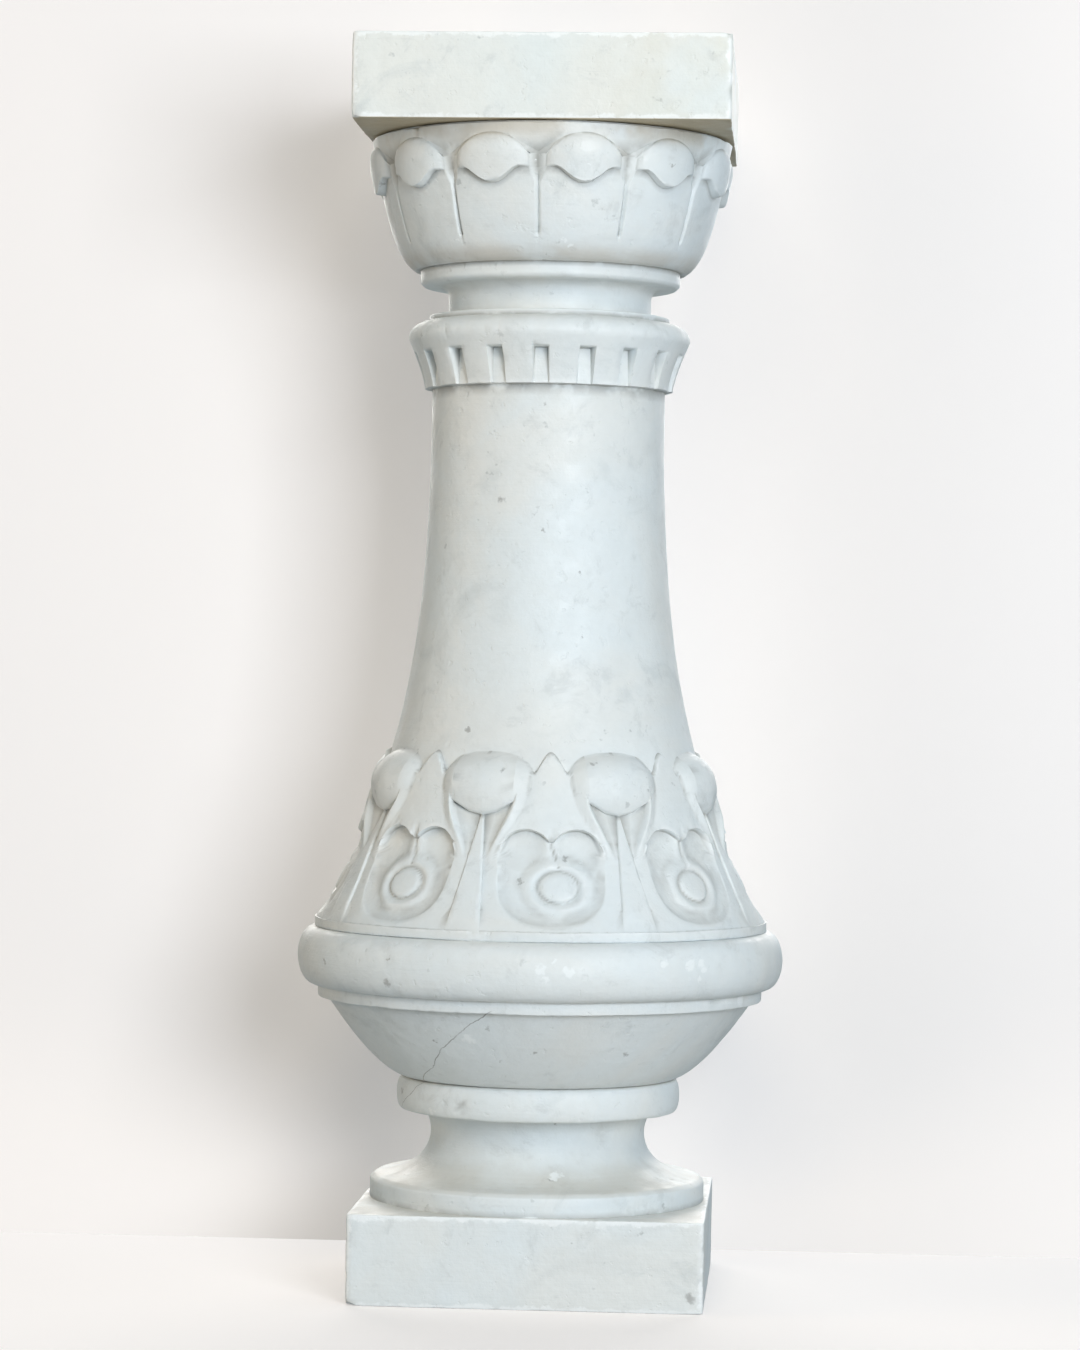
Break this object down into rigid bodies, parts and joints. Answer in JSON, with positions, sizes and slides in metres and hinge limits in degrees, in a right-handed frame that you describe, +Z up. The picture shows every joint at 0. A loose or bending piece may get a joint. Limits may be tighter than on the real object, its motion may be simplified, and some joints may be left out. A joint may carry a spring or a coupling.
{
  "type": "marble baluster",
  "caption": "Carved marble baluster: square plinth, turned foot, bowl and torus, carved bulb, flared shaft, slotted collar and leaf bell under a separate square abacus.",
  "frame": {"origin": "middle of the plinth's underside", "axes": "+Z up along the column's axis, -Y out of the front face, +X to the right"},
  "size_m": [0.281, 0.281, 0.7109],
  "materials": {
    "white_marble": "honed, weathered, with faint grey veins and small chips",
    "cream_marble": "honed, weathered, with a yellow and brown stain"
  },
  "bodies": {
    "root": {"baluster": "white_marble", "abacus": "cream_marble"}
  },
  "joints": []
}
